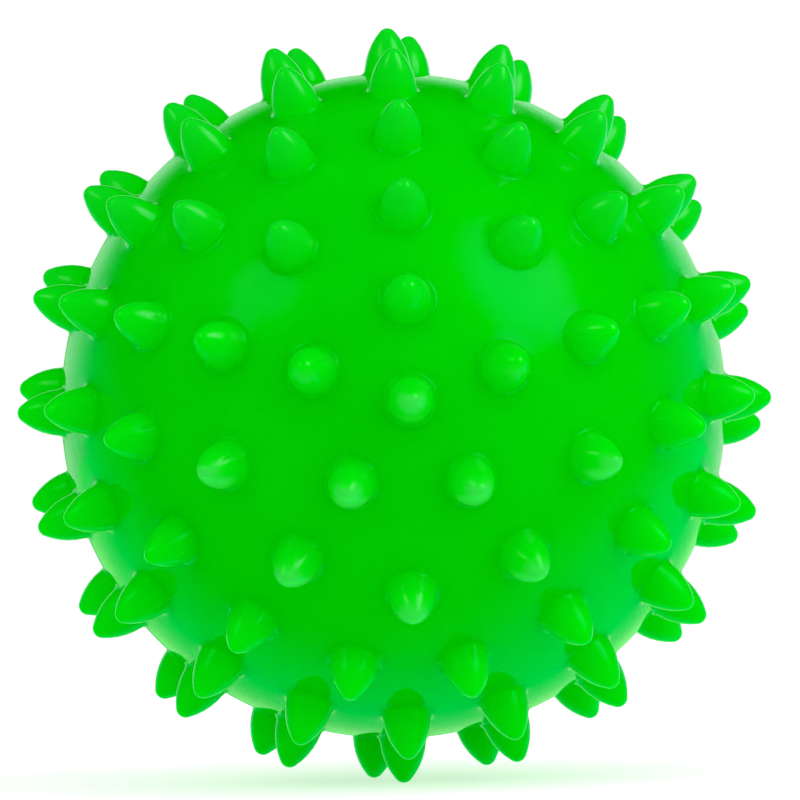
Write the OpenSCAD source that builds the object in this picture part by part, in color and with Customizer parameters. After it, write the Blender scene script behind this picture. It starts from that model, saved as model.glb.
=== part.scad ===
// Sensory ball: a hollow soft ball of two half shells, with rings of rounded
// spikes on each half and a soft needle valve at the rear pole.
// Millimetres, +Z up, origin at the ball's centre, front pole towards -Y.

/* [Shell] */
// Outer diameter of the shell, without its spikes
shell_d = 88; // [70:1:140]
// Thickness of the shell
shell_wall = 2; // [1.2:0.1:3]

/* [Spikes] */
// Height of a spike above the shell
spike_h = 6; // [4:0.1:9]
// Diameter of a spike at its foot
spike_d = 6.2; // [4:0.1:7]
// Radius of a spike's rounded tip
spike_tip_r = 1.3; // [0.8:0.1:1.8]

/* [Spike pattern] */
// Angle from the pole to the first ring and from ring to ring, in degrees
ring_pitch = 16.6; // [14:0.1:17]
// Spikes in the ring next to a pole, and how many more the next ring has
ring_step = 5; // [4:1:6]
// Most spikes in one ring
ring_most = 20; // [16:1:24]
// Turn of the rear half's spikes against the front half's, in degrees
rear_turn = -4; // [-9:0.5:9]

/* [Valve] */
// Bore of the neck that holds the plug
neck_bore_d = 6; // [5:0.1:7]
// Thickness of the neck around its bore
neck_wall = 2.4; // [2:0.1:3]
// Length of the neck's bore, from the plug's seat inwards
neck_len = 8; // [6:0.5:12]
// Depth of the plug's seat below the pole of the shell
seat_depth = 1.4; // [1:0.1:1.8]
// Diameter of the plug's head
head_d = 9; // [8.5:0.1:9.5]
// Thickness of the plug's head
head_t = 1.2; // [0.8:0.1:1.4]
// Length of the plug's stem below its head
stem_len = 7.5; // [5:0.5:10]
// Bevel on the inner end of the stem
stem_bevel = 0.8; // [0.4:0.1:1.2]
// Diameter of the hole for a pump needle
needle_d = 2.2; // [1.8:0.1:2.6]
// Depth of the needle hole from the face of the head
needle_depth = 6.5; // [3:0.5:8]

/* [Clearances] */
// Gap between the stem and the neck's bore, on the radius
stem_gap = 0.05; // [0.02:0.01:0.1]
// Gap round the plug's head in its seat
head_gap = 0.3; // [0.2:0.05:0.5]

/* [Hidden] */
$fn = 96;

skin_green = [0.01, 0.76, 0.02];
plug_green = [0.01, 0.56, 0.05];

// Cutting solids run past the faces that they cut by this much
overrun = 1;

shell_r = shell_d / 2;
inner_r = shell_r - shell_wall;

// Every ring has a spike on the meridian that runs straight up from the pole
first_meridian = 90;

// A spike's outline: a flank arc that starts upright at the foot and runs
// into the tip's arc without a corner
foot_r = spike_d / 2;
foot_y = sqrt(pow(shell_r, 2) - pow(foot_r, 2));
tip_y = shell_r + spike_h - spike_tip_r;
tip_rise = tip_y - foot_y;
flank_r = (pow(foot_r, 2) + pow(tip_rise, 2) - pow(spike_tip_r, 2)) / (2 * (foot_r - spike_tip_r));
join_y = tip_y + spike_tip_r * tip_rise / (flank_r - spike_tip_r);

seat_y = shell_r - seat_depth;
seat_r = head_d / 2 + head_gap;
bore_r = neck_bore_d / 2;
neck_r = bore_r + neck_wall;
stem_r = bore_r - stem_gap;

function spikes_in_ring(k) = min(ring_step * k, ring_most);

// Turns a half drawn about +Z, with its pole up, to the front or the rear
module front_half() {
    rotate([90, 0, 0])
        children();
}

module rear_half() {
    mirror([0, 1, 0])
        front_half()
            children();
}

module shell_outline() {
    intersection() {
        difference() {
            circle(shell_r);
            circle(inner_r);
        }
        square(shell_d);
    }
}

module front_shell() {
    color(skin_green)
        front_half()
            rotate_extrude()
                shell_outline();
}

// The shell with the neck inside its pole, and the seat and bore cut through
module rear_shell() {
    color(skin_green)
        rear_half()
            difference() {
                union() {
                    rotate_extrude()
                        shell_outline();
                    translate([0, 0, seat_y - neck_len])
                        cylinder(r = neck_r, h = neck_len);
                }
                translate([0, 0, seat_y])
                    cylinder(r = seat_r, h = seat_depth + overrun);
                translate([0, 0, seat_y - neck_len - overrun])
                    cylinder(r = bore_r, h = neck_len + 2 * overrun);
            }
}

module valve_plug() {
    color(plug_green)
        rear_half()
            difference() {
                union() {
                    translate([0, 0, seat_y])
                        cylinder(d = head_d, h = head_t);
                    translate([0, 0, seat_y - stem_len + stem_bevel])
                        cylinder(r = stem_r, h = stem_len - stem_bevel);
                    translate([0, 0, seat_y - stem_len])
                        cylinder(r1 = stem_r - stem_bevel, r2 = stem_r, h = stem_bevel);
                }
                translate([0, 0, seat_y + head_t - needle_depth])
                    cylinder(d = needle_d, h = needle_depth + overrun);
            }
}

module spike_outline() {
    translate([0, foot_y - overrun])
        square([foot_r, overrun]);
    intersection() {
        translate([foot_r - flank_r, foot_y])
            circle(flank_r);
        translate([0, foot_y])
            square([foot_r, join_y - foot_y]);
    }
    intersection() {
        translate([0, tip_y])
            circle(spike_tip_r);
        translate([0, join_y])
            square(spike_tip_r);
    }
}

// One spike along +Z, its foot shaped to the round of the shell
module spike() {
    difference() {
        rotate_extrude()
            spike_outline();
        rotate([90, 0, 0])
            sphere(shell_r);
    }
}

// Ring k of a half: spikes on meridians counted from straight up
module spike_ring(k, turn) {
    count = spikes_in_ring(k);
    for (i = [0:count - 1])
        rotate([0, 0, first_meridian + turn + i * 360 / count])
            rotate([0, k * ring_pitch, 0])
                spike();
}

module front_pole_spike() {
    color(skin_green)
        front_half()
            spike();
}

module front_spike_ring(k) {
    color(skin_green)
        front_half()
            spike_ring(k, 0);
}

module rear_spike_ring(k) {
    color(skin_green)
        rear_half()
            spike_ring(k, rear_turn);
}

front_shell();
rear_shell();
valve_plug();
front_pole_spike();
front_spike_ring(1);  // front_spike_ring_1
front_spike_ring(2);  // front_spike_ring_2
front_spike_ring(3);  // front_spike_ring_3
front_spike_ring(4);  // front_spike_ring_4
front_spike_ring(5);  // front_spike_ring_5
rear_spike_ring(1);  // rear_spike_ring_1
rear_spike_ring(2);  // rear_spike_ring_2
rear_spike_ring(3);  // rear_spike_ring_3
rear_spike_ring(4);  // rear_spike_ring_4
rear_spike_ring(5);  // rear_spike_ring_5
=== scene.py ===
from math import atan2, cos, pi, radians, sin, sqrt

import bmesh
import bpy
from mathutils import Matrix, Vector


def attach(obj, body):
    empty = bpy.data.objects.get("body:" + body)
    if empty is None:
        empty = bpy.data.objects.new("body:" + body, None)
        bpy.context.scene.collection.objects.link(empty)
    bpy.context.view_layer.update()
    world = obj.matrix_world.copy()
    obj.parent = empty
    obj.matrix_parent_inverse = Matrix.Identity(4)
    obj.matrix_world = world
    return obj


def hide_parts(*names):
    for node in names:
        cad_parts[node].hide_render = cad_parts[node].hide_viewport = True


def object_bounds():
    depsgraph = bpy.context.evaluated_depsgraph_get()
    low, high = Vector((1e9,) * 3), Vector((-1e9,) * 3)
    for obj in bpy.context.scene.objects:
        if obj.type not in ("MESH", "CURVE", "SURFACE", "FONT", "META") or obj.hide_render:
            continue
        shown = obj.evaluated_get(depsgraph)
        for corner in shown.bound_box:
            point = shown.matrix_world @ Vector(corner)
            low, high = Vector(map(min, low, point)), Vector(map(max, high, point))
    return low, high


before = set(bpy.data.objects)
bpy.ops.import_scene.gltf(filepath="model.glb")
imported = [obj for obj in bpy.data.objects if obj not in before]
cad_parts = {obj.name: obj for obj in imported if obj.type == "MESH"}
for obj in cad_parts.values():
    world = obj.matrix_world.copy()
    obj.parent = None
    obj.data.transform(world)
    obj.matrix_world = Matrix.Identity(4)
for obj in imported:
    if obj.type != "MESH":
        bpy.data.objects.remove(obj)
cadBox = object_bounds()
scene = bpy.context.scene
weld = 0.000001   # points closer than this, in metres, are one
print("frame loaded, nodes:", len(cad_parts))


def keepType(items, kind):
    return [g for g in items if g.is_valid and isinstance(g, kind)]


def listOnce(items):
    # each item once, in the order they come
    return list(dict.fromkeys(items))


def addObject(name, data):
    made = bpy.data.objects.new(name, data)
    scene.collection.objects.link(made)
    return made


def inOrder(items, placeOf):
    ranks = {g: i for i, g in enumerate(sorted(items, key=placeOf))}
    items.sort(key=ranks.get)
    items.index_update()


def finishMesh(bm, name, material):
    bmesh.ops.recalc_face_normals(bm, faces=bm.faces)
    # Blender's own order changes from run to run, so points and faces are sorted
    inOrder(bm.verts, lambda v: v.co[:])
    inOrder(bm.faces, lambda f: sorted(v.index for v in f.verts))
    mesh = bpy.data.meshes.new(name)
    loose = sum(not e.is_contiguous for e in bm.edges)
    print(name, "faces:", len(bm.faces), "open or turned edges:", loose)
    bm.to_mesh(mesh)
    bm.free()
    mesh.shade_smooth()
    mesh.materials.append(material)
    return addObject(name, mesh)


def newMaterial(name):
    material = bpy.data.materials.new(name)
    material.use_nodes = True
    tree = material.node_tree
    return material, tree, tree.nodes["Principled BSDF"]


def objectPlace(tree):
    return tree.nodes.new("ShaderNodeTexCoord").outputs["Object"]


def noiseOf(tree, place, scale, detail):
    noise = tree.nodes.new("ShaderNodeTexNoise")
    noise.inputs["Scale"].default_value = scale
    noise.inputs["Detail"].default_value = detail
    tree.links.new(place, noise.inputs["Vector"])
    return noise.outputs["Fac"]


def bumpOf(tree, height, distance, under=None):
    bump = tree.nodes.new("ShaderNodeBump")
    bump.inputs["Distance"].default_value = distance
    tree.links.new(height, bump.inputs["Height"])
    if under:
        tree.links.new(under, bump.inputs["Normal"])
    return bump.outputs["Normal"]


def colourStops(tree, value, stops):
    # a colour ramp through these places
    ramp = tree.nodes.new("ShaderNodeValToRGB")
    marks = ramp.color_ramp.elements
    while len(marks) < len(stops):
        marks.new(0.5)
    while len(marks) > len(stops):
        marks.remove(marks[-1])
    for mark, (place, colour) in zip(marks, stops):
        mark.position, mark.color = place, colour
    tree.links.new(value, ramp.inputs["Fac"])
    return ramp.outputs["Color"]


def stretched(tree, value, ends):
    # 0 to 1 between two ends, with soft corners
    level = tree.nodes.new("ShaderNodeMapRange")
    level.interpolation_type = "SMOOTHSTEP"
    level.inputs["From Min"].default_value, level.inputs["From Max"].default_value = ends
    tree.links.new(value, level.inputs["Value"])
    return level.outputs["Result"]


def spread(tree, value, ends):
    # from one end to the other as the value goes from 0 to 1
    level = tree.nodes.new("ShaderNodeMapRange")
    level.inputs["To Min"].default_value, level.inputs["To Max"].default_value = ends
    tree.links.new(value, level.inputs["Value"])
    return level.outputs["Result"]


def mathOf(tree, operation, first, second):
    made = tree.nodes.new("ShaderNodeMath")
    made.operation = operation
    tree.links.new(first, made.inputs[0])
    tree.links.new(second, made.inputs[1])
    return made.outputs["Value"]


def product(tree, first, *others):
    for other in others:
        first = mathOf(tree, "MULTIPLY", first, other)
    return first


def vectorOf(tree, operation, vector, *constants):
    made = tree.nodes.new("ShaderNodeVectorMath")
    made.operation = operation
    tree.links.new(vector, made.inputs[0])
    for socket, constant in zip(made.inputs[1:], constants):
        socket.default_value = constant
    oneNumber = operation in ("LENGTH", "DISTANCE", "DOT_PRODUCT")
    return made.outputs["Value" if oneNumber else "Vector"]


def blended(tree, share, first, second):
    # the first colour gives way to the second by this share
    blend = tree.nodes.new("ShaderNodeMix")
    blend.data_type = "RGBA"
    tree.links.new(share, blend.inputs["Factor"])
    for colour, socket in ((first, blend.inputs["A"]), (second, blend.inputs["B"])):
        if isinstance(colour, tuple):
            socket.default_value = colour
        else:
            tree.links.new(colour, socket)
    return blend.outputs["Result"]


# Glossy translucent vinyl: light passes a little way under the skin, so shade is soft
vinyl = {
    "deepGreen": (0.0006, 0.735, 0.0006, 1),
    "fullGreen": (0.001, 0.80, 0.001, 1),
    "flankGreen": (0.001, 0.70, 0.004, 1),
    # painted sheen: the upper front spikes' flanks paler, as if lit from above
    "upperSheenGreen": (0.004, 0.62, 0.018, 1),
    "capHighlightGreen": (0.045, 0.66, 0.085, 1),     # painted highlight: paler caps on the lower front spikes, as if lit from below
    "underHighlightGreen": (0.045, 0.75, 0.075, 1),   # and a painted highlight on their undersides
    "flankRise": (0.0442, 0.0460),           # distances from the ball's centre
    "upperRise": (0.0448, 0.0495),
    "capRise": (0.0478, 0.0497),
    "underRise": (0.0455, 0.0475),
    "capAhead": (-0.034, -0.0385),           # only spikes this far in front get the painted highlights
    "capBelow": (0.0045, 0.0012),            # and this low
    "underBelow": (-0.001, -0.005),
    "facingName": "facingUp",                # how far a point of the skin faces up
    "capFacing": (0.75, 0.05),
    "underFacing": (-0.35, -0.75),
    "upperAbove": (0.008, 0.024),
    "shineAbove": (-0.004, 0.008),
    "rearFade": (0.026, 0.012),              # the rear spikes are like the lower ones
    "skinShine": (0, 1, 0.3, 1),             # tints of the gloss
    "spikeShine": (1, 1, 1, 1),
    "cloudScale": 55,
    "cloudDetail": 3,
    "cloudEnds": (0.3, 0.7),
    "roughness": (0.03, 0.06),
    "spikeRoughness": 0.15,
    "grainScale": 900,
    "grainDetail": 4,
    "grainHeight": 0.000004,
    "rippleScale": 160,
    "rippleDetail": 1,
    "rippleHeight": 0.00003,
    "glow": 1.0,
    "glowReach": 0.007,
    "glowColours": (0.1, 1, 0.1),            # green light gets furthest
    "refraction": 1.52,
}


def makeVinyl():
    material, tree, shader = newMaterial("greenVinyl")
    place = objectPlace(tree)
    clouds = noiseOf(tree, place, vinyl["cloudScale"], vinyl["cloudDetail"])
    greens = (vinyl["deepGreen"], vinyl["fullGreen"])
    colour = colourStops(tree, clouds, tuple(zip(vinyl["cloudEnds"], greens)))
    # how far up a spike a point is, where the spike is, and which way the point faces
    away = vectorOf(tree, "LENGTH", place)
    parted = tree.nodes.new("ShaderNodeSeparateXYZ")
    tree.links.new(place, parted.inputs["Vector"])
    facing = tree.nodes.new("ShaderNodeAttribute")
    facing.attribute_name = vinyl["facingName"]

    def within(value, *names):
        return [stretched(tree, value, vinyl[name]) for name in names]

    flank, upperFlank, cap, lowFlank = within(away, "flankRise", "upperRise", "capRise", "underRise")
    ahead, front = within(parted.outputs["Y"], "capAhead", "rearFade")
    below, beneath = within(parted.outputs["Z"], "capBelow", "underBelow")
    above, higher = within(parted.outputs["Z"], "shineAbove", "upperAbove")
    lower, underside = within(facing.outputs["Fac"], "capFacing", "underFacing")
    # painted sheen on the flanks of the upper front spikes
    upper = product(tree, upperFlank, front, higher)
    # painted highlight on the caps of the lower front spikes
    capHighlight = product(tree, cap, lower, ahead, below)
    # painted highlight on the undersides of the lower front spikes
    under = product(tree, lowFlank, underside, ahead, beneath)
    shares = {"flankGreen": flank, "upperSheenGreen": upper, "capHighlightGreen": capHighlight, "underHighlightGreen": under}
    for green, share in shares.items():
        colour = blended(tree, share, colour, vinyl[green])
    tree.links.new(colour, shader.inputs["Base Color"])
    clear = product(tree, flank, mathOf(tree, "MAXIMUM", ahead, product(tree, front, above)))
    shine = blended(tree, clear, vinyl["skinShine"], vinyl["spikeShine"])
    tree.links.new(shine, shader.inputs["Specular Tint"])
    # a fine moulded grain over faint ripples, duller on the spikes
    grain = noiseOf(tree, place, vinyl["grainScale"], vinyl["grainDetail"])
    ripple = noiseOf(tree, place, vinyl["rippleScale"], vinyl["rippleDetail"])
    dull = tree.nodes.new("ShaderNodeMix")
    dull.inputs["B"].default_value = vinyl["spikeRoughness"]
    tree.links.new(flank, dull.inputs["Factor"])
    tree.links.new(spread(tree, grain, vinyl["roughness"]), dull.inputs["A"])
    tree.links.new(dull.outputs["Result"], shader.inputs["Roughness"])
    soft = bumpOf(tree, ripple, vinyl["rippleHeight"])
    tree.links.new(bumpOf(tree, grain, vinyl["grainHeight"], soft), shader.inputs["Normal"])
    shader.inputs["Subsurface Weight"].default_value = vinyl["glow"]
    shader.inputs["Subsurface Radius"].default_value = vinyl["glowColours"]
    shader.inputs["Subsurface Scale"].default_value = vinyl["glowReach"]
    shader.inputs["IOR"].default_value = vinyl["refraction"]
    return material


# The soft skin in two moulded halves, in metres, with the same sizes as the solids
skin = {
    "radius": 0.044,            # outside of the skin between the spikes
    "wall": 0.002,
    "spikeHeight": 0.006,
    "footRadius": 0.0031,
    "tipRadius": 0.0013,
    "footFillet": 0.0009,       # moulded round where a spike grows out of the skin
    "spikeSteps": (4, 5, 5),    # up the fillet, the flank and the tip
    "ringPitch": radians(16.6),
    "ringSpikes": (5, 10, 15, 20, 20),
    "firstMeridian": radians(90),
    "rearTurn": radians(-4),    # the rear half's spikes against the front half's
    "outerDetail": 6,
    "innerDetail": 5,
    "holeMargin": 0.0003,       # room between a spike's fillet and the round mesh about it
    "rimReach": 0.98,           # a hole's rim is further out than this share of the radius
    "rimSmoothing": 4,          # evens the holes' edges, so that no face folds over
    "rimEase": 0.5,
    "partingWidth": 0.0004,     # half of the fine line where the mould parts
    "partingDepth": 0.00005,
}

# The valve at the rear pole
valve = {
    "seatRadius": 0.0048,
    "seatDepth": 0.0014,
    "seatRound": 0.0004,
    "lipSteps": 4,
    "boreRadius": 0.003,
    "neckWall": 0.0024,
    "neckLength": 0.008,
    "wallSteps": 24,
}


def arc(centre, start, end, count):
    # the points after start, round the centre, up to end
    first = atan2(start.y - centre.y, start.x - centre.x)
    sweep = atan2(end.y - centre.y, end.x - centre.x) - first
    sweep = (sweep + pi) % (2 * pi) - pi
    reach = (start - centre).length
    turns = [first + sweep * i / count for i in range(1, count + 1)]
    return [centre + reach * Vector((cos(turn), sin(turn))) for turn in turns]


def spikeOutline():
    # radius and height from the skin up the fillet and the flank to the tip
    shell, foot, tip, fillet = (skin[k] for k in ("radius", "footRadius", "tipRadius", "footFillet"))
    footHeight = sqrt(shell ** 2 - foot ** 2)
    tipCentre = Vector((0, shell + skin["spikeHeight"] - tip))
    rise = tipCentre.y - footHeight
    flank = (foot ** 2 + rise ** 2 - tip ** 2) / (2 * (foot - tip))
    flankCentre = Vector((foot - flank, footHeight))
    # the fillet touches the skin and the flank, which gives its centre
    away = flankCentre.length
    along = ((shell + fillet) ** 2 - (flank + fillet) ** 2 + away ** 2) / (2 * away)
    across = sqrt((shell + fillet) ** 2 - along ** 2)
    toFlank = flankCentre / away
    filletCentre = toFlank * along + Vector((toFlank.y, -toFlank.x)) * across
    onSkin = filletCentre * shell / (shell + fillet)
    onFlank = filletCentre + (flankCentre - filletCentre).normalized() * fillet
    onTip = flankCentre + (tipCentre - flankCentre).normalized() * flank
    top = tipCentre + Vector((0, tip))
    centres = (filletCentre, flankCentre, tipCentre)
    ends = (onSkin, onFlank, onTip, top)
    points = [onSkin]
    for centre, start, end, steps in zip(centres, ends, ends[1:], skin["spikeSteps"]):
        points += arc(centre, start, end, steps)
    return points


def seatOutline():
    # over the seat's rounded lip, down the bore, back up round the neck, along the inner wall
    lip, seat, bore = valve["seatRound"], valve["seatRadius"], valve["boreRadius"]
    neck = bore + valve["neckWall"]
    floor = skin["radius"] - valve["seatDepth"]
    end = floor - valve["neckLength"]
    inside = skin["radius"] - skin["wall"]
    root = sqrt(inside ** 2 - neck ** 2)
    edge = sqrt(skin["radius"] ** 2 - (seat + lip) ** 2)
    points = [Vector((seat + lip, edge))]
    points += arc(Vector((seat + lip, edge - lip)), points[0], Vector((seat, edge - lip)), valve["lipSteps"])
    points += [Vector(p) for p in ((seat, floor), (bore, floor), (bore, end), (neck, end), (neck, root))]
    points += arc(Vector((0, 0)), points[-1], Vector((inside, 0)), valve["wallSteps"])
    return points


def spikeAxes(side):
    # side is -1 for the front half and 1 for the rear one
    turn = skin["rearTurn"] if side > 0 else 0
    axes = [] if side > 0 else [Vector((0, -1, 0))]
    for k, count in enumerate(skin["ringSpikes"], 1):
        tilt = k * skin["ringPitch"]
        for i in range(count):
            angle = skin["firstMeridian"] + turn + i * 2 * pi / count
            axes.append(Vector((sin(tilt) * cos(angle), side * cos(tilt), sin(tilt) * sin(angle))))
    return axes


def halfBall(bm, radius, detail, side):
    # cut off at the seam, and cut once more where the parting line starts
    made = bmesh.ops.create_icosphere(bm, subdivisions=detail, radius=radius)
    geom = listOnce(g for v in made["verts"] for g in (v, *v.link_edges, *v.link_faces))
    cuts = ((0, True), (side * skin["partingWidth"], False))
    for place, clear in cuts:
        plane = {"plane_co": (0, place, 0), "plane_no": (0, -side, 0)}
        cut = bmesh.ops.bisect_plane(bm, geom=geom, clear_outer=clear, **plane)
        geom = [g for g in cut["geom"] if g.is_valid]
    for vert in keepType(geom, bmesh.types.BMVert):
        vert.co = vert.co.normalized() * radius


def onSeam(edge):
    return all(abs(v.co.y) < weld for v in edge.verts)


def openHoles(bm, axes, reach, radius):
    limit = radius * cos((reach + skin["holeMargin"]) / radius)
    near = [v for v in bm.verts if any(v.co.dot(axis) > limit for axis in axes)]
    bmesh.ops.delete(bm, geom=near, context="VERTS")


def holeEdges(bm, axes, radius):
    # the edges round the holes about these axes, not those deep inside
    limit = skin["rimReach"] * radius
    rims = [e for e in bm.edges if e.is_boundary and not onSeam(e)]
    return [e for e in rims if max(e.verts[0].co.dot(axis) for axis in axes) > limit]


def walkLoop(start, ahead):
    loop = [start, ahead[start][0]]
    while True:
        onward = [v for v in ahead[loop[-1]] if v is not loop[-2]][0]
        if onward is start:
            return loop
        loop.append(onward)


def evenSpokes(edges, axes):
    # for each vertex round a hole, the hole's axis and an even direction out from it
    ahead = {}
    for e in edges:
        for v in e.verts:
            ahead.setdefault(v, []).append(e.other_vert(v))
    spokes = {}
    for start in ahead:
        if start in spokes:
            continue
        loop = walkLoop(start, ahead)
        middle = sum((v.co for v in loop), Vector()) / len(loop)
        axis = max(axes, key=middle.dot)
        u = axis.orthogonal().normalized()
        w = axis.cross(u)
        turns = [atan2(v.co.dot(w), v.co.dot(u)) for v in loop]
        way = 1 if sin(turns[1] - turns[0]) > 0 else -1
        step = way * 2 * pi / len(loop)
        drift = [(turn - i * step - turns[0] + pi) % (2 * pi) - pi for i, turn in enumerate(turns)]
        first = turns[0] + sum(drift) / len(drift)
        for i, v in enumerate(loop):
            turn = first + i * step
            spokes[v] = (axis, u * cos(turn) + w * sin(turn))
    return spokes


def growOutline(bm, edges, spokes, outline):
    # pulls the edges of the holes along an outline that turns about each axis
    for point in outline:
        made = bmesh.ops.extrude_edge_only(bm, edges=edges)["geom"]
        fresh = keepType(made, bmesh.types.BMVert)
        freshSet = set(fresh)
        edges = [e for e in keepType(made, bmesh.types.BMEdge) if freshSet.issuperset(e.verts)]
        onward = {}
        for vert in fresh:
            below = [e.other_vert(vert) for e in vert.link_edges if e.other_vert(vert) not in freshSet][0]
            axis, spoke = onward[vert] = spokes[below]
            vert.co = axis * point.y + spoke * point.x
        spokes = onward
    if outline[-1].x < weld:
        bmesh.ops.remove_doubles(bm, verts=fresh, dist=weld)


def growHoles(bm, axes, radius, outline):
    bmesh.ops.subdivide_edges(bm, edges=holeEdges(bm, axes, radius), cuts=1)
    edges = holeEdges(bm, axes, radius)
    rim = listOnce(v for e in edges for v in e.verts)
    allWays = {"use_axis_x": True, "use_axis_y": True, "use_axis_z": True}
    for _ in range(skin["rimSmoothing"]):
        bmesh.ops.smooth_vert(bm, verts=rim, factor=skin["rimEase"], **allWays)
    for vert in rim:
        vert.co = vert.co.normalized() * radius
    growOutline(bm, edges, evenSpokes(edges, axes), outline)


def makeHalfSkin(name, side, material):
    radius, innerRadius = skin["radius"], skin["radius"] - skin["wall"]
    spike, seat = spikeOutline(), seatOutline()
    axes = spikeAxes(side)
    pole = [Vector((0, side, 0))]
    bm = bmesh.new()
    halfBall(bm, radius, skin["outerDetail"], side)
    if side > 0:
        openHoles(bm, pole, seat[0].x, radius)
        growHoles(bm, pole, radius, seat)
    else:
        halfBall(bm, innerRadius, skin["innerDetail"], side)
    openHoles(bm, axes, spike[0].x, radius)
    growHoles(bm, axes, radius, spike)
    # the outer and the inner wall join at the seam, where the mould leaves a fine line
    seam = [e for e in bm.edges if e.is_boundary]
    for vert in listOnce(v for e in seam for v in e.verts):
        if vert.co.length > innerRadius + skin["wall"] / 2:
            vert.co *= 1 - skin["partingDepth"] / radius
    bmesh.ops.bridge_loops(bm, edges=seam)
    piece = finishMesh(bm, name, material)
    facing = piece.data.attributes.new(vinyl["facingName"], "FLOAT", "POINT")
    facing.data.foreach_set("value", [n.vector.z for n in piece.data.vertex_normals])
    return piece


greenVinyl = makeVinyl()
frontSkin = makeHalfSkin("frontSkin", -1, greenVinyl)
rearSkin = makeHalfSkin("rearSkin", 1, greenVinyl)
for piece, half in ((frontSkin, "front"), (rearSkin, "rear")):
    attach(piece, "ball")
    rings = [f"{half}_spike_ring_{k}" for k in range(1, len(skin["ringSpikes"]) + 1)]
    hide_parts(f"{half}_shell", *rings)
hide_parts("front_pole_spike")
print("skin halves made")

# The air plug, pressed into the rear half's seat
plug = {
    "headRadius": 0.0045,
    "headThick": 0.0012,
    "headRound": 0.0003,
    "roundSteps": 3,
    "stemRadius": 0.00295,
    "stemLength": 0.0075,
    "stemBevel": 0.0008,
    "needleRadius": 0.0011,
    "needleDepth": 0.0065,
    "needleChamfer": 0.0003,
    "steps": 48,
    "sharpAngle": radians(40),   # edges that turn more than this stay crisp
    "deepGreen": (0.0008, 0.42, 0.012, 1),
    "fullGreen": (0.001, 0.50, 0.015, 1),
    "grainScale": 1400,
    "grainDetail": 5,
    "grainEnds": (0.35, 0.65),
    "grainHeight": 0.000015,
    "roughness": (0.25, 0.45),
}


def makePlugRubber():
    material, tree, shader = newMaterial("plugRubber")
    grain = noiseOf(tree, objectPlace(tree), plug["grainScale"], plug["grainDetail"])
    greens = (plug["deepGreen"], plug["fullGreen"])
    tone = colourStops(tree, grain, tuple(zip(plug["grainEnds"], greens)))
    tree.links.new(tone, shader.inputs["Base Color"])
    tree.links.new(spread(tree, grain, plug["roughness"]), shader.inputs["Roughness"])
    tree.links.new(bumpOf(tree, grain, plug["grainHeight"]), shader.inputs["Normal"])
    return material


def makePlug(material):
    # an outline from the stem's end up round the head and down the needle hole, turned about the axis
    under = skin["radius"] - valve["seatDepth"]
    top = under + plug["headThick"]
    head, stem, needle = plug["headRadius"], plug["stemRadius"], plug["needleRadius"]
    edge, bevel, chamfer = plug["headRound"], plug["stemBevel"], plug["needleChamfer"]
    end, blind = under - plug["stemLength"], top - plug["needleDepth"]
    steps = plug["roundSteps"]
    shaft = ((0, end), (stem - bevel, end), (stem, end + bevel), (stem, under), (head - edge, under))
    hole = ((needle + chamfer, top), (needle, top - chamfer), (needle, blind), (0, blind))
    points = [Vector(p) for p in shaft]
    points += arc(Vector((head - edge, under + edge)), points[-1], Vector((head, under + edge)), steps)
    points.append(Vector((head, top - edge)))
    points += arc(Vector((head - edge, top - edge)), points[-1], Vector((head - edge, top)), steps)
    points += [Vector(p) for p in hole]
    bm = bmesh.new()
    verts = [bm.verts.new((p.x, p.y, 0)) for p in points]
    edges = [bm.edges.new(pair) for pair in zip(verts, verts[1:])]
    about = {"cent": (0, 0, 0), "axis": (0, 1, 0), "angle": 2 * pi}
    bmesh.ops.spin(bm, geom=verts + edges, steps=plug["steps"], use_merge=True, **about)
    bmesh.ops.remove_doubles(bm, verts=bm.verts, dist=weld)
    piece = finishMesh(bm, "airPlug", material)
    piece.data.set_sharp_from_angle(angle=plug["sharpAngle"])
    return piece


airPlug = makePlug(makePlugRubber())
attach(airPlug, "plug")
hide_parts("valve_plug")
print("air plug made")

# The camera at the photograph's angle
photoView = {
    "distance": 0.72,
    "lens": 244.3,
    "poleRight": radians(2.69),   # how far the front pole turns from the line to the camera
    "poleUp": radians(0.9),
    "roll": radians(1.28),
    "level": radians(-90),        # a camera that isn't turned looks straight down
    "shift": (0.0082, 0.0073),
}


def turnAbout(axis, angle):
    return Matrix.Rotation(angle, 4, axis)


def makeCamera():
    data = bpy.data.cameras.new("photoCamera")
    data.lens = photoView["lens"]
    data.shift_x, data.shift_y = photoView["shift"]
    camera = addObject("photoCamera", data)
    poleTurn = turnAbout("X", -photoView["poleUp"]) @ turnAbout("Y", photoView["poleRight"])
    upright = turnAbout("Z", photoView["roll"]) @ turnAbout("X", photoView["level"])
    back = Matrix.Translation((0, 0, photoView["distance"]))
    camera.matrix_world = (poleTurn @ upright).inverted() @ back
    scene.camera = camera


# A floor and light from all round
studio = {
    "floorSize": 12,
    "floorColour": (0.75, 0.75, 0.75, 1),
    "floorRoughness": 0.9,
    "white": (1, 1, 1, 1),
    "floorGlow": (0.20, 0.565),  # a table lit from below: on the ball, and in the picture
    "fill": (0.585, 1),          # the same for the even light from all round
}


def seenLevel(tree, levels):
    # one level for the light on the ball, another for what the camera and the gloss see
    path = tree.nodes.new("ShaderNodeLightPath")
    seen = path.outputs["Is Camera Ray"]
    for ray in ("Is Glossy Ray", "Is Transmission Ray"):
        seen = mathOf(tree, "MAXIMUM", seen, path.outputs[ray])
    return spread(tree, seen, levels)


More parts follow.
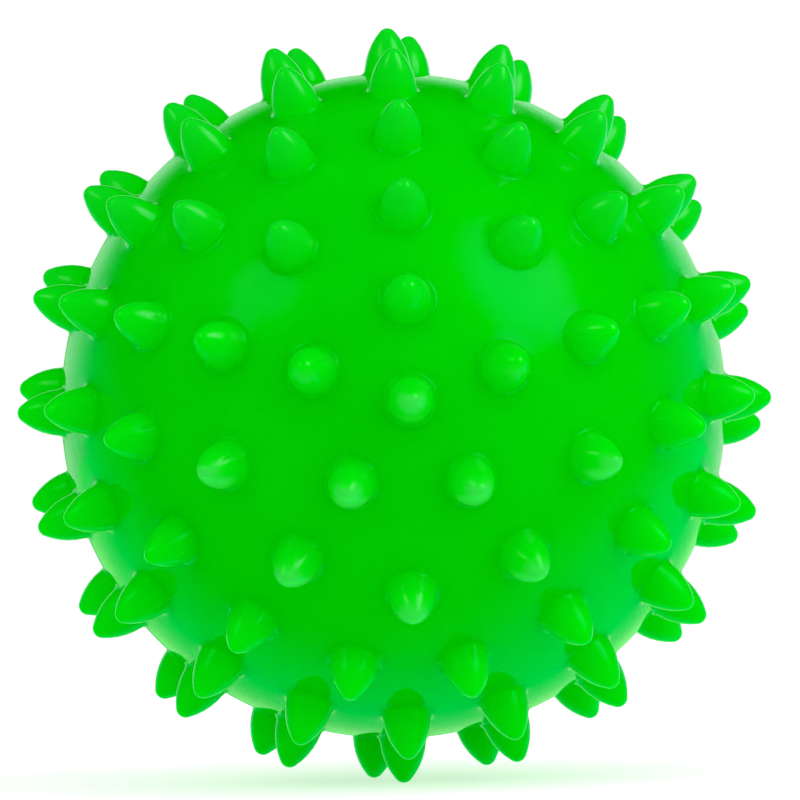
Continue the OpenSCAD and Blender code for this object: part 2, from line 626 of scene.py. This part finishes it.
def makeFloor():
    material, tree, shader = newMaterial("paleFloor")
    shader.inputs["Base Color"].default_value = studio["floorColour"]
    shader.inputs["Roughness"].default_value = studio["floorRoughness"]
    shader.inputs["Specular IOR Level"].default_value = 0
    shader.inputs["Emission Color"].default_value = studio["white"]
    tree.links.new(seenLevel(tree, studio["floorGlow"]), shader.inputs["Emission Strength"])
    bm = bmesh.new()
    bmesh.ops.create_grid(bm, x_segments=1, y_segments=1, size=studio["floorSize"] / 2)
    bmesh.ops.translate(bm, verts=bm.verts, vec=(0, 0, cadBox[0][2]))
    made = finishMesh(bm, "studioFloor", material)
    made.visible_glossy = False


def makeWorld():
    world = bpy.data.worlds.new("studioWhite")
    scene.world = world
    world.use_nodes = True
    tree = world.node_tree
    back = tree.nodes["Background"]
    back.inputs["Color"].default_value = studio["white"]
    tree.links.new(seenLevel(tree, studio["fill"]), back.inputs["Strength"])


# What the gloss alone mirrors: a green room, a pale wall behind and a pale floor below
tent = {
    "radius": 1.7,
    "segments": (64, 32),
    "horizon": radians(-5),
    "front": (0, 0.9, 0, 1),
    "room": ((0.0, (0, 0.9, 0, 1)), (0.4, (0, 0.45, 0, 1)), (0.7, (0, 0.3, 0, 1))),
    "wallStretch": (1.22, 0, 2.25),   # makes a soft oval of the wall, a little to the right
    "wallShift": (-0.06, 0, 0),
    "wallEdge": (1.3, 0.72),
    "wallStops": (
        (0.63, (0.0, 0.95, 0.65, 1)),
        (0.73, (0.19, 0.95, 0.65, 1)),
        (0.81, (0.38, 0.95, 0.655, 1)),
        (0.92, (0.53, 0.95, 0.63, 1)),
        (0.97, (0.45, 0.95, 0.5, 1)),
        (0.995, (0.06, 0.6, 0.1, 1)),
    ),
    "floorSlope": (0.1, 0.27, 0),     # paler behind and to the right
    "floorRange": (-0.07, 0.18),
    "floorDip": (0, 0.6, -0.8),       # not at the sides
    "floorDipRange": (0.2, 0.5),
    "floorStops": (
        (0.1, (0.0, 1.4, 0.71, 1)),
        (0.5, (0.0, 1.4, 0.49, 1)),
        (0.70, (0.0, 1.35, 0.42, 1)),
        (0.81, (0.17, 1.25, 0.41, 1)),
        (0.92, (0.42, 1.25, 0.44, 1)),
        (0.97, (0.36, 1.2, 0.4, 1)),
        (0.995, (0.06, 0.6, 0.1, 1)),
    ),
}


def emissionMaterial(name):
    material, tree, shader = newMaterial(name)
    tree.nodes.remove(shader)
    glow = tree.nodes.new("ShaderNodeEmission")
    glow.inputs["Color"].default_value = tent["front"]
    tree.links.new(glow.outputs["Emission"], tree.nodes["Material Output"].inputs["Surface"])
    return material, tree, glow.inputs["Color"]


def reflectionOnly(made):
    made.visible_camera = made.visible_diffuse = made.visible_shadow = made.visible_transmission = False


def makeTentPart(name, room, stops, mask):
    # pale where the mask says, by how far behind the ball the light comes from
    material, tree, glow = emissionMaterial(name)
    aim = vectorOf(tree, "NORMALIZE", objectPlace(tree))
    behind = vectorOf(tree, "DOT_PRODUCT", aim, (0, 1, 0))
    tones = [colourStops(tree, behind, marks) for marks in (room, stops)]
    tree.links.new(blended(tree, mask(tree, aim), *tones), glow)
    return material


def wallMask(tree, aim):
    oval = vectorOf(tree, "MULTIPLY_ADD", aim, tent["wallStretch"], tent["wallShift"])
    return stretched(tree, vectorOf(tree, "LENGTH", oval), tent["wallEdge"])


def floorMask(tree, aim):
    slope = vectorOf(tree, "DOT_PRODUCT", aim, tent["floorSlope"])
    dip = vectorOf(tree, "DOT_PRODUCT", aim, tent["floorDip"])
    return product(
        tree,
        stretched(tree, slope, tent["floorRange"]),
        stretched(tree, dip, tent["floorDipRange"]),
    )


def makeTent():
    horizon = tent["radius"] * sin(tent["horizon"])
    around, upward = tent["segments"]
    bm = bmesh.new()
    bmesh.ops.create_uvsphere(bm, u_segments=around, v_segments=upward, radius=tent["radius"])
    for place, normal in (((0, 0, horizon), (0, 0, 1)), ((0, 0, 0), (0, 1, 0))):
        geom = bm.verts[:] + bm.edges[:] + bm.faces[:]
        bmesh.ops.bisect_plane(bm, geom=geom, plane_co=place, plane_no=normal)
    # the materials are the room in front, the wall behind and the floor
    for face in bm.faces:
        middle = face.calc_center_median()
        face.material_index = 2 if middle.z < horizon else int(middle.y > 0)
    made = finishMesh(bm, "reflectionTent", emissionMaterial("tentFront")[0])
    made.data.materials.append(makeTentPart("tentWall", tent["room"], tent["wallStops"], wallMask))
    made.data.materials.append(makeTentPart("tentFloor", tent["room"][:1], tent["floorStops"], floorMask))
    reflectionOnly(made)


# Two soft boxes in front: lamps that light the ball, and cards that show in its gloss
softBoxes = {
    "rightSoft": {
        "aim": (0.61, -0.507, 0.608),
        "half": (0.5, 0.6),
        "core": (1.5, 2.7, 2.1, 1),
        "power": 3.35,
    },
    "leftSoft": {
        "aim": (-0.65, -0.48, 0.59),
        "half": (0.36, 0.3),
        "core": (0.9, 2.3, 1.0, 1),
        "power": 0.95,
    },
}

# What both cards share, with places on a card's own map
card = {
    "distance": 0.8,
    "middle": (0.5, 0.5, 0),
    "fade": (0.5, 0),           # from the edge in to the middle
    "greenStop": (0.4, (0, 1.8, 0, 1)),
    "corePlace": 0.8,
}


def makeSoftBox(name, box):
    material, tree, glow = emissionMaterial(name)
    onCard = tree.nodes.new("ShaderNodeTexCoord").outputs["UV"]
    inward = stretched(tree, vectorOf(tree, "DISTANCE", onCard, card["middle"]), card["fade"])
    stops = ((0, tent["front"]), card["greenStop"], (card["corePlace"], box["core"]))
    tree.links.new(colourStops(tree, inward, stops), glow)
    aim = Vector(box["aim"]).normalized()
    facingBall = aim.to_track_quat("Z", "Y").to_matrix().to_4x4()
    place = Matrix.Translation(aim * card["distance"]) @ facingBall
    bm = bmesh.new()
    bm.loops.layers.uv.new("cardMap")
    bmesh.ops.create_grid(bm, x_segments=1, y_segments=1, size=1, calc_uvs=True)
    bmesh.ops.scale(bm, verts=bm.verts, vec=(*box["half"], 1))
    bmesh.ops.transform(bm, verts=bm.verts, matrix=place)
    reflectionOnly(finishMesh(bm, name, material))
    data = bpy.data.lights.new(name + "Lamp", "AREA")
    data.shape = "RECTANGLE"
    data.size, data.size_y = (2 * half for half in box["half"])
    data.energy = box["power"]
    lamp = addObject(name + "Lamp", data)
    lamp.matrix_world = place
    lamp.visible_glossy = False


makeCamera()
makeFloor()
makeTent()
for name, box in softBoxes.items():
    makeSoftBox(name, box)
makeWorld()
scene.view_settings.view_transform = "Standard"
print("camera and studio made")
